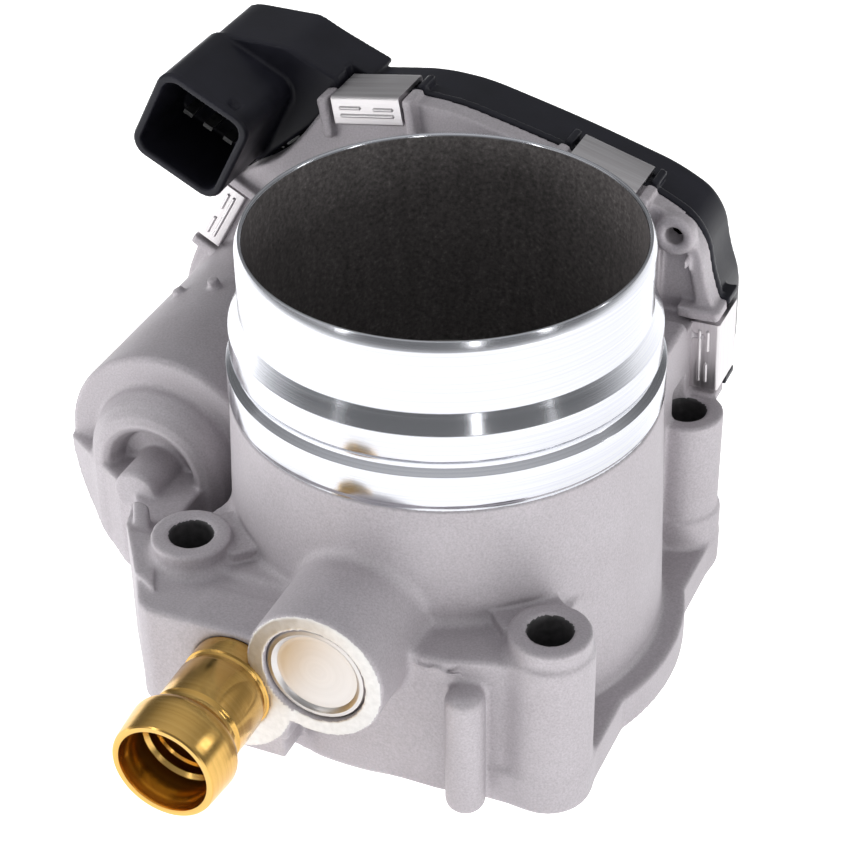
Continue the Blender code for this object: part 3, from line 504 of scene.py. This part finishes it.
# ---- turned pieces -------------------------------------------------------------------------
def turned(name, profile, place, materials, steps=256, finish=None):
    """Spin a closed (radius, height) profile; finish gives each edge the number of its material."""
    mesh = bpy.data.meshes.new(name)
    rows = len(profile)
    angle = np.linspace(0, 2 * np.pi, steps, endpoint=False)
    r = np.array([p[0] for p in profile])[:, None]
    h = np.array([p[1] for p in profile])[:, None]
    co = np.stack([r * np.cos(angle), r * np.sin(angle), h + 0 * angle], -1).reshape(-1, 3) * MM
    faces, slots = [], []
    for i in range(rows):
        j = (i + 1) % rows
        if profile[i][0] == 0 and profile[j][0] == 0:
            continue
        for k in range(steps):
            m = (k + 1) % steps
            faces.append((i * steps + k, j * steps + k, j * steps + m, i * steps + m))
            slots.append(finish(profile[i], profile[j]) if finish else 0)
    mesh.from_pydata(co.tolist(), [], faces)
    mesh.polygons.foreach_set("material_index", slots)
    bm = bmesh.new()
    bm.from_mesh(mesh)
    bmesh.ops.remove_doubles(bm, verts=bm.verts, dist=1e-6)
    bmesh.ops.recalc_face_normals(bm, faces=bm.faces)
    bm.to_mesh(mesh)
    bm.free()
    mesh.shade_smooth()
    mesh.set_sharp_from_angle(angle=math.radians(24))
    for m in materials:
        mesh.materials.append(m)
    item = bpy.data.objects.new(name, mesh)
    bpy.context.scene.collection.objects.link(item)
    item.matrix_world = place
    return item


def along_y(x, z):
    return Matrix.Translation(Vector((x, 0.0, z)) * MM) @ Matrix.Rotation(math.pi / 2, 4, "X")


def make_spigot():
    """The machined spigot, with a bright throat under the coated part of its bore."""
    outer = [
        (BORE_R, RIM_Z - 0.35), (BORE_R + 0.25, RIM_Z), (BORE_R + 0.7, RIM_Z),
        (BORE_R + 1.3, RIM_Z - 1.6), (BORE_R + 1.3, RIM_Z - 11.8),
        (34.0, RIM_Z - 14.8), (34.0, RIM_Z - 19.2),
        (33.4, RIM_Z - 19.8), (33.4, RIM_Z - 20.7), (34.7, RIM_Z - 21.5),
        (34.7, RIM_Z - 26.7), (34.3, RIM_Z - 27.4), (34.3, RIM_Z - 28.3), (31.8, RIM_Z - 28.4),
        (31.8, SLEEVE_Z), (BORE_R, SLEEVE_Z), (BORE_R, COATED_FROM_Z),
    ]

    def finish(a, b):
        if max(a[0], b[0]) > BORE_R + 0.05:
            return 0
        return 1 if min(a[1], b[1]) > COATED_FROM_Z - 0.3 else 2

    item = turned("machined_spigot", rounded(outer, 0.18, 2), Matrix.Identity(4),
                  [lathed_metal(), bore_coating(), throat_metal()], 288, finish)
    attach(item, "housing")


def make_plug():
    profile = [(0.0, 48.75), (5.8, 48.8), (6.6, 48.95), (6.9, 49.3), (7.3, 49.55), (7.9, 49.5),
               (8.2, 49.1), (8.24, 47.0), (0.0, 47.0)]
    item = turned("dished_plug", profile, along_y(0.0, SHAFT_Z), [plug_metal()], 160)
    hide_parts("core_plug")
    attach(item, "housing")


def make_nipple():
    profile = [
        (7.35, 69.9), (7.6, 70.0), (8.15, 70.0), (8.4, 69.8), (8.55, 69.3), (8.95, 64.6), (9.0, 63.6),
        (8.9, 63.1), (8.5, 62.4), (7.9, 61.8), (7.3, 61.35), (7.05, 60.9), (7.0, 60.3), (7.1, 59.8),
        (7.35, 59.4), (7.4, 52.2), (7.25, 51.7), (6.95, 51.4), (6.9, 50.6), (7.1, 50.2), (7.4, 50.0),
        (7.4, 46.9), (6.9, 46.8), (6.9, 38.0), (6.2, 38.0), (6.2, 60.6), (6.5, 61.0), (6.5, 62.6),
        (7.1, 63.2), (7.2, 69.5),
    ]
    item = turned("brass_nipple", profile, along_y(PORT_X, PORT_Z), [polished_brass()], 192)
    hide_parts("hose_nipple")
    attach(item, "housing")


# ---- cover and clips -----------------------------------------------------------------------
def socket_turn():
    tilt = Matrix.Rotation(math.radians(SOCKET_TILT), 4, "Y")
    return Matrix.Translation((SOCKET_X, 0.0, SOCKET_Z)) @ tilt


def socket_prism(half, corner, y0, y1, edge):
    """A square with round corners, in the connector's own tilted frame."""
    m = np.array(socket_turn().inverted())

    def shape(x, y, z):
        lx = m[0][0] * x + m[0][2] * z + m[0][3]
        lz = m[2][0] * x + m[2][2] * z + m[2][3]
        qx, qz = np.abs(lx) - half + corner, np.abs(lz) - half + corner
        flat = np.hypot(np.maximum(qx, 0), np.maximum(qz, 0)) - corner
        flat = flat + np.minimum(np.maximum(qx, qz), 0)
        return between(flat, y, y0, y1, edge)
    return shape


def cover_clay():
    """Crowned cover with the connector's hood, hollowed, and cleared under each clip."""
    clay = Clay((-71.5, 22.8, 2.0), (36.5, 58.0, 81.2), 0.4)
    clay.add(case_prism(CASE, CASE_SEAT_Y + 0.4, 44.0, 0.2), (-70, 42, 3), (35, 45, 76), 0)
    clay.add(case_prism(inset(CASE, 0.8), 43.0, 54.8, 1.2), (-70, 43, 3), (35, 56, 76), 0.2)
    crown = rounded(inset(CASE_CORNERS, CASE_WALL), 8.0)
    clay.add(case_prism(crown, 50.0, COVER_TOP_Y, 2.0), (-70, 50, 3), (35, 58, 76), 1.2)
    hood = [(-61.8, 79.3), (-67.5, 68.0), (-61.0, 57.5), (-54.0, 56.0), (-38.0, 70.0),
            (-33.5, 73.6), (-43.1, 77.6), (-47.5, 79.8), (-59.3, 79.9)]
    clay.add(case_prism(rounded(hood, 1.2), 41.2, 55.6, 0.45), (-68, 41, 56), (-33, 56, 80), 0.2)
    clay.add(socket_prism(9.15, 3.4, 24.0, 42.4, 0.3), (-72, 24, 56), (-45, 43, 81), 0.15)
    clay.add(socket_prism(9.22, 3.5, 24.0, 25.4, 0.5), (-72, 24, 56), (-45, 26, 81), 0.1)
    tab = slab((3.2, 26.0, 8.6), (5.0, 28.0, 9.9), 0.2, socket_turn())
    clay.cut(tab, (-60, 25, 70), (-45, 30, 80), 0.1)
    hollow = case_prism(inset(CASE_CORNERS, CASE_WALL), 30.0, COVER_TOP_Y - 2.0, 0.3)
    clay.cut(hollow, (-70, 41, 3), (35, 56, 76), 0.2)
    clay.cut(case_prism(CASE, 20.0, 42.35, 0.1), (-70, 22, 3), (35, 43, 76), 0.1)
    clay.cut(socket_prism(7.7, 2.2, 10.0, 39.2, 0.2), (-70, 22, 56), (-46, 40, 81), 0.25)
    for x, z, tilt in CLIPS.values():
        turn = clip_turn(x, z, tilt)
        seat = slab((-7.1, 36.0, -0.05), (7.1, 47.3, 8.0), 0.1, turn)
        clay.cut(seat, (x - 9, 36, z - 9), (x + 9, 48, z + 9), 0.1)
        slot = slab((-7.4, 45.4, -1.8), (7.4, 47.6, 8.0), 0.1, turn)
        clay.cut(slot, (x - 9, 44, z - 9), (x + 9, 48, z + 9), 0.2)
        for side in (-1, 1):
            low, high = (side * 8.0 - 0.7, 42.6, -1.5), (side * 8.0 + 0.7, 47.4, 0.9)
            stub = slab(low, high, 0.2, turn)
            clay.add(stub, (x - 12, 42, z - 12), (x + 12, 48, z + 12), 0.15)
    return clay


def make_cover():
    mesh = cover_clay().mesh("moulded_cover")
    cover = bpy.data.objects.new("moulded_cover", mesh)
    bpy.context.scene.collection.objects.link(cover)
    mesh.materials.append(moulded_plastic())
    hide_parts("gear_cover")
    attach(cover, "housing")


def make_clip(name, x, z, tilt, metal):
    """Bent spring clip: a bridge, a front leg with beads, and a rear leg in its slot."""
    sheet = 0.8
    low = 0.3
    top = low + sheet
    front = 37.7
    rear = 46.0
    half = 6.45
    section = rounded([(front - sheet, top), (front - sheet, -4.1), (front, -4.1), (front, low),
                       (rear, low), (rear, -1.2), (rear + sheet, -1.2), (rear + sheet, top)], 0.5, 4)
    bm = bmesh.new()
    rings = []
    for lx in (-half, half):
        rings.append([bm.verts.new((lx * MM, y * MM, h * MM)) for y, h in section])
    count = len(section)
    for i in range(count):
        j = (i + 1) % count
        bm.faces.new((rings[0][i], rings[0][j], rings[1][j], rings[1][i]))
    bm.faces.new(rings[0])
    bm.faces.new(rings[1][::-1])
    for lx0, lx1, h in ((-5.2, -0.9, -0.9), (1.2, 5.2, -1.1), (-5.2, 5.2, -2.3)):
        add_bead(bm, lx0, lx1, front - sheet, h)
    bmesh.ops.recalc_face_normals(bm, faces=bm.faces)
    mesh = bpy.data.meshes.new(name + "_bent")
    bm.to_mesh(mesh)
    bm.free()
    mesh.materials.append(metal)
    item = bpy.data.objects.new(name + "_bent", mesh)
    bpy.context.scene.collection.objects.link(item)
    m = clip_turn(x, z, tilt)
    m.translation *= MM
    item.matrix_world = m
    edge = item.modifiers.new("edge", "BEVEL")
    edge.width = 0.12 * MM
    edge.segments = 2
    edge.limit_method = "ANGLE"
    edge.angle_limit = math.radians(40)
    mesh.shade_smooth()
    mesh.set_sharp_from_angle(angle=math.radians(35))
    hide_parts(name)
    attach(item, "housing")


def add_bead(bm, x0, x1, y, h):
    """Half-round stiffening bead pressed out of a clip's front leg."""
    half_turn = np.linspace(0, math.pi, 7)
    rows = []
    for lx, r in ((x0, 0.05), (x0 + 0.3, 0.34), (x1 - 0.3, 0.34), (x1, 0.05)):
        rows.append([bm.verts.new((lx * MM, (y - r * math.sin(a)) * MM, (h + r * math.cos(a)) * MM))
                     for a in half_turn])
    for a, b in zip(rows, rows[1:]):
        for i in range(6):
            bm.faces.new((a[i], a[i + 1], b[i + 1], b[i]))
        bm.faces.new((a[6], a[0], b[0], b[6]))
    bm.faces.new(rows[0])
    bm.faces.new(rows[-1][::-1])


# ---- materials -----------------------------------------------------------------------------
class Shade:
    """A small helper for building one material's nodes."""

    def __init__(self, name):
        self.material = bpy.data.materials.new(name)
        self.material.use_nodes = True
        self.tree = self.material.node_tree
        self.shader = self.tree.nodes["Principled BSDF"]
        self.place = self.node("ShaderNodeTexCoord").outputs["Object"]

    def node(self, kind, **values):
        made = self.tree.nodes.new(kind)
        for key, value in values.items():
            if hasattr(made, key):
                setattr(made, key, value)
            else:
                made.inputs[key.replace("_", " ")].default_value = value
        return made

    def wire(self, source, target):
        self.tree.links.new(source, target)

    def scaled(self, scale):
        mapping = self.node("ShaderNodeMapping")
        mapping.inputs["Scale"].default_value = scale
        self.wire(self.place, mapping.inputs["Vector"])
        return mapping.outputs["Vector"]

    def noise(self, scale, detail=4.0, rough=0.55, vector=None):
        made = self.node("ShaderNodeTexNoise", Scale=scale, Detail=detail, Roughness=rough)
        self.wire(vector if vector is not None else self.place, made.inputs["Vector"])
        return made.outputs["Fac"]

    def ramp(self, source, *stops):
        made = self.node("ShaderNodeValToRGB")
        while len(made.color_ramp.elements) < len(stops):
            made.color_ramp.elements.new(0.5)
        for element, (position, colour) in zip(made.color_ramp.elements, stops):
            element.position = position
            element.color = (*colour, 1.0)
        self.wire(source, made.inputs["Fac"])
        return made.outputs["Color"]

    def levels(self, source, low, high, a=0.0, b=1.0):
        made = self.node("ShaderNodeMapRange")
        made.inputs["From Min"].default_value = a
        made.inputs["From Max"].default_value = b
        made.inputs["To Min"].default_value = low
        made.inputs["To Max"].default_value = high
        self.wire(source, made.inputs["Value"])
        return made.outputs["Result"]

    def mix(self, a, b, factor, kind="MIX"):
        made = self.node("ShaderNodeMix", data_type="RGBA", blend_type=kind)
        if isinstance(factor, float):
            made.inputs["Factor"].default_value = factor
        else:
            self.wire(factor, made.inputs["Factor"])
        self.wire(a, made.inputs["A"])
        self.wire(b, made.inputs["B"])
        return made.outputs["Result"]

    def bump(self, height, strength, distance, under=None):
        made = self.node("ShaderNodeBump", Strength=strength, Distance=distance)
        self.wire(height, made.inputs["Height"])
        if under is not None:
            self.wire(under, made.inputs["Normal"])
        return made.outputs["Normal"]

    def rings(self):
        """Coordinates that change along the piece's own axis and outwards, not round it."""
        parts = self.node("ShaderNodeSeparateXYZ")
        self.wire(self.place, parts.inputs["Vector"])
        flat = self.node("ShaderNodeCombineXYZ")
        self.wire(parts.outputs["X"], flat.inputs["X"])
        self.wire(parts.outputs["Y"], flat.inputs["Y"])
        length = self.node("ShaderNodeVectorMath", operation="LENGTH")
        self.wire(flat.outputs["Vector"], length.inputs[0])
        made = self.node("ShaderNodeCombineXYZ")
        self.wire(length.outputs["Value"], made.inputs["X"])
        self.wire(parts.outputs["Z"], made.inputs["Z"])
        return made.outputs["Vector"]

    def set(self, **values):
        for key, value in values.items():
            self.shader.inputs[key.replace("_", " ")].default_value = value
        return self


def cast_metal():
    s = Shade("cast_metal").set(Metallic=0.55)
    fine = s.noise(6000.0, 2.0, 0.6)
    grain = s.noise(3000.0, 3.0, 0.6)
    cloud = s.noise(90.0, 4.0, 0.6)
    base = s.ramp(grain, (0.30, (0.40, 0.375, 0.395)), (0.50, (0.47, 0.443, 0.467)),
                  (0.72, (0.55, 0.52, 0.55)))
    tone = s.ramp(cloud, (0.30, (0.92, 0.91, 0.91)), (0.70, (1.0, 1.0, 1.0)))
    s.wire(s.mix(base, tone, 1.0, "MULTIPLY"), s.shader.inputs["Base Color"])
    s.wire(s.levels(grain, 0.50, 0.62, 0.3, 0.7), s.shader.inputs["Roughness"])
    s.wire(s.bump(grain, 0.35, 0.00005, s.bump(fine, 0.3, 0.00002)), s.shader.inputs["Normal"])
    return s.material


def faced_metal():
    s = Shade("faced_metal").set(Metallic=0.85)
    grain = s.noise(900.0, 3.0, 0.5)
    base = s.ramp(grain, (0.3, (0.62, 0.61, 0.60)), (0.7, (0.74, 0.73, 0.72)))
    s.wire(base, s.shader.inputs["Base Color"])
    s.wire(s.levels(grain, 0.36, 0.5, 0.3, 0.7), s.shader.inputs["Roughness"])
    s.wire(s.bump(grain, 0.2, 0.00004), s.shader.inputs["Normal"])
    return s.material


def lathe_marks(name, low, high, rough_low, rough_high, pitch, depth):
    """Metal with fine turning lines round the piece's own axis."""
    s = Shade(name).set(Metallic=1.0)
    ring = s.rings()
    mapping = s.node("ShaderNodeMapping")
    mapping.inputs["Scale"].default_value = (pitch, pitch, pitch)
    s.wire(ring, mapping.inputs["Vector"])
    lines = s.noise(1.0, 3.0, 0.7, mapping.outputs["Vector"])
    broad = s.noise(0.16, 2.0, 0.5, mapping.outputs["Vector"])
    s.wire(s.ramp(lines, (0.3, low), (0.7, high)), s.shader.inputs["Base Color"])
    s.wire(s.levels(broad, rough_low, rough_high, 0.35, 0.65), s.shader.inputs["Roughness"])
    s.wire(s.bump(lines, 0.5, depth), s.shader.inputs["Normal"])
    return s


def lathed_metal():
    s = lathe_marks("lathed_metal", (0.60, 0.61, 0.65), (0.72, 0.73, 0.77),
                    0.12, 0.20, 2600.0, 0.000012)
    s.set(Anisotropic=0.5, Anisotropic_Rotation=0.25)
    tangent = s.node("ShaderNodeTangent", direction_type="RADIAL", axis="Z")
    s.wire(tangent.outputs["Tangent"], s.shader.inputs["Tangent"])
    return s.material


def throat_metal():
    return plain_detail("throat_metal", (0.55, 0.54, 0.53), (0.70, 0.69, 0.68), 0.4, 0.45)


def plug_metal():
    s = lathe_marks("plug_metal", (0.60, 0.58, 0.57), (0.66, 0.64, 0.63),
                    0.30, 0.40, 700.0, 0.00001)
    return s.material


def polished_brass():
    s = lathe_marks("polished_brass", (0.62, 0.36, 0.09), (0.76, 0.49, 0.16),
                    0.16, 0.27, 1800.0, 0.000008)
    return s.material


def bore_coating():
    s = Shade("bore_coating").set(Metallic=0.0, Specular_IOR_Level=0.25)
    grain = s.noise(1500.0, 4.0, 0.65)
    streak = s.noise(1.0, 3.0, 0.6, s.scaled((500.0, 500.0, 40.0)))
    base = s.ramp(grain, (0.3, (0.055, 0.050, 0.050)), (0.62, (0.135, 0.124, 0.122)),
                  (0.8, (0.27, 0.25, 0.245)))
    tone = s.ramp(streak, (0.3, (0.8, 0.8, 0.8)), (0.7, (1.0, 1.0, 1.0)))
    s.wire(s.mix(base, tone, 1.0, "MULTIPLY"), s.shader.inputs["Base Color"])
    s.wire(s.levels(grain, 0.55, 0.75, 0.3, 0.7), s.shader.inputs["Roughness"])
    s.wire(s.bump(grain, 0.3, 0.00006), s.shader.inputs["Normal"])
    return s.material


def moulded_plastic():
    s = Shade("moulded_plastic").set(Metallic=0.0, Specular_IOR_Level=0.22)
    grain = s.noise(1800.0, 4.0, 0.6)
    cloud = s.noise(120.0, 3.0, 0.6)
    base = s.ramp(cloud, (0.3, (0.008, 0.008, 0.012)), (0.7, (0.014, 0.014, 0.020)))
    s.wire(base, s.shader.inputs["Base Color"])
    s.wire(s.levels(cloud, 0.32, 0.46, 0.3, 0.7), s.shader.inputs["Roughness"])
    s.wire(s.bump(grain, 0.25, 0.00004), s.shader.inputs["Normal"])
    return s.material


def clip_metal():
    s = Shade("clip_metal").set(Metallic=1.0)
    line = s.noise(1.0, 3.0, 0.6, s.scaled((60.0, 2200.0, 2200.0)))
    base = s.ramp(line, (0.3, (0.66, 0.63, 0.64)), (0.7, (0.78, 0.76, 0.77)))
    s.wire(base, s.shader.inputs["Base Color"])
    s.wire(s.levels(line, 0.28, 0.42, 0.3, 0.7), s.shader.inputs["Roughness"])
    s.wire(s.bump(line, 0.15, 0.00002), s.shader.inputs["Normal"])
    return s.material


def plain_detail(name, low, high, metallic, rough, scale=900.0):
    s = Shade(name).set(Metallic=metallic)
    grain = s.noise(scale, 4.0, 0.6)
    s.wire(s.ramp(grain, (0.3, low), (0.7, high)), s.shader.inputs["Base Color"])
    s.wire(s.levels(grain, rough - 0.06, rough + 0.06, 0.3, 0.7), s.shader.inputs["Roughness"])
    s.wire(s.bump(grain, 0.2, 0.00004), s.shader.inputs["Normal"])
    return s.material


def dress_nodes():
    """Better finishes for the CAD nodes that stay."""
    steel = plain_detail("ground_steel", (0.56, 0.55, 0.54), (0.72, 0.71, 0.70), 1.0, 0.3)
    brass = plain_detail("plate_brass", (0.66, 0.50, 0.27), (0.78, 0.62, 0.36), 1.0, 0.3)
    rubber = plain_detail("black_rubber", (0.012, 0.012, 0.012), (0.03, 0.03, 0.03), 0.0, 0.75)
    # Dark coated steel for the coated parts, also put on the connector pins as painted shade.
    coated = plain_detail("phosphated_steel_and_pin_shade", (0.06, 0.06, 0.06), (0.14, 0.14, 0.14), 0.7, 0.5)
    nylon = plain_detail("natural_nylon", (0.62, 0.58, 0.48), (0.74, 0.70, 0.60), 0.0, 0.45, 400.0)
    board = plain_detail("solder_mask", (0.015, 0.10, 0.04), (0.03, 0.16, 0.07), 0.0, 0.4, 500.0)
    copper = plain_detail("enamelled_copper", (0.45, 0.18, 0.08), (0.66, 0.30, 0.14), 0.8, 0.35, 1500.0)
    finish = {
        "bright_steel": steel,
        "brass": brass,
        "seal_rubber": rubber,
        "coated_steel": coated,
        "gear_nylon": nylon,
        "circuit_board": board,
        "armature_copper": copper,
    }
    slot_of = {part["node"]: part["material_slot"] for part in frame["record"]["subparts"]}
    for name, node in frame["nodes"].items():
        made = finish.get(slot_of[name])
        # Connector pins take the dark coated steel: painted shade for the dark inside of the socket.
        if name.startswith("connector_pin"):
            made = coated
        if name == "throttle_plate":
            made = steel
        if made is not None:
            for slot in node.material_slots:
                slot.material = made


# ---- studio --------------------------------------------------------------------------------
def area_light(name, spot, aim, size, power, mirrored=True):
    """A rectangular softbox, left out of sharp reflections when mirrored is False."""
    lamp = bpy.data.lights.new(name, "AREA")
    lamp.shape = "RECTANGLE"
    lamp.size, lamp.size_y = size
    lamp.energy = power
    item = bpy.data.objects.new(name, lamp)
    item.location = spot
    item.visible_glossy = mirrored
    item.rotation_euler = (Vector(aim) - Vector(spot)).to_track_quat("-Z", "Y").to_euler()
    bpy.context.scene.collection.objects.link(item)


def make_floor():
    mesh = bpy.data.meshes.new("floor")
    bm = bmesh.new()
    bmesh.ops.create_grid(bm, x_segments=1, y_segments=1, size=4.0)
    bm.to_mesh(mesh)
    bm.free()
    floor = bpy.data.objects.new("floor", mesh)
    floor.location.z = -0.0005
    bpy.context.scene.collection.objects.link(floor)
    white = plain_detail("floor_white", (0.90, 0.90, 0.90), (0.93, 0.93, 0.93), 0.0, 0.8, 3.0)
    shader = white.node_tree.nodes["Principled BSDF"]
    shader.inputs["Emission Color"].default_value = (1.0, 1.0, 1.0, 1.0)
    shader.inputs["Emission Strength"].default_value = 0.72
    mesh.materials.append(white)


def make_world():
    """Soft surroundings, light at the horizon and overhead and darker between."""
    world = bpy.data.worlds.new("studio")
    bpy.context.scene.world = world
    world.use_nodes = True
    tree = world.node_tree
    sky = tree.nodes.new("ShaderNodeTexCoord")
    parts = tree.nodes.new("ShaderNodeSeparateXYZ")
    ramp = tree.nodes.new("ShaderNodeValToRGB")
    stops = ((0.0, 0.80), (0.12, 0.16), (0.45, 0.22), (1.0, 0.70))
    while len(ramp.color_ramp.elements) < len(stops):
        ramp.color_ramp.elements.new(0.5)
    for element, (height, grey) in zip(ramp.color_ramp.elements, stops):
        element.position = height
        element.color = (grey * 0.97, grey * 0.98, grey, 1.0)
    tree.links.new(sky.outputs["Generated"], parts.inputs["Vector"])
    tree.links.new(parts.outputs["Z"], ramp.inputs["Fac"])
    tree.links.new(ramp.outputs["Color"], tree.nodes["Background"].inputs["Color"])


def make_lights():
    """Soft light from both sides, and strips that draw bright lines down the turned metal."""
    area_light("left_window", (-0.75, -0.45, 0.13), (-0.01, 0, 0.04), (0.6, 0.25), 5.0, False)
    area_light("right_window", (0.78, -0.30, 0.12), (0, 0, 0.04), (0.5, 0.25), 4.2, False)
    area_light("high_left", (-0.60, 0.10, 0.55), (0, 0, 0.04), (0.4, 0.4), 2.6, False)
    area_light("left_card", (-0.82, -0.44, 0.45), (0, 0, 0.05), (0.9, 0.3), 0.40)
    strip_distance = 0.95
    for i, angle in enumerate((-31, 38, 76, 112)):
        turn = math.radians(angle)
        spot = (strip_distance * math.sin(turn), -strip_distance * math.cos(turn), 0.50)
        area_light(f"strip_{i + 1}", spot, (0, 0, 0.04), (0.06, 0.35), 0.45)


def make_studio():
    make_floor()
    make_world()
    make_lights()
    bpy.context.scene.view_settings.view_transform = "Standard"


def make_camera():
    """Long lens above and to the right of the front, rolled slightly clockwise."""
    data = bpy.data.cameras.new("camera")
    data.lens = 97.42
    data.sensor_width = 36.0
    forward = Vector((-0.3378, 0.7482, -0.5711)).normalized()
    level = Vector((0.9114, 0.4115, 0.0)).normalized()
    down = forward.cross(level).normalized()
    roll = math.radians(0.873)
    right = (level * math.cos(roll) + down * math.sin(roll)).normalized()
    up = right.cross(forward).normalized()
    camera = bpy.data.objects.new("camera", data)
    camera.matrix_world = Matrix((
        (right.x, up.x, -forward.x, 0.12198),
        (right.y, up.y, -forward.y, -0.27870),
        (right.z, up.z, -forward.z, 0.25165),
        (0, 0, 0, 1)))
    data.clip_start = 0.01
    bpy.context.scene.collection.objects.link(camera)
    bpy.context.scene.camera = camera


make_camera()
make_studio()
make_housing()
make_spigot()
make_plug()
make_nipple()
make_cover()
spring_steel = clip_metal()
for clip, (clip_x, clip_z, clip_tilt) in CLIPS.items():
    make_clip(clip, clip_x, clip_z, clip_tilt, spring_steel)
dress_nodes()
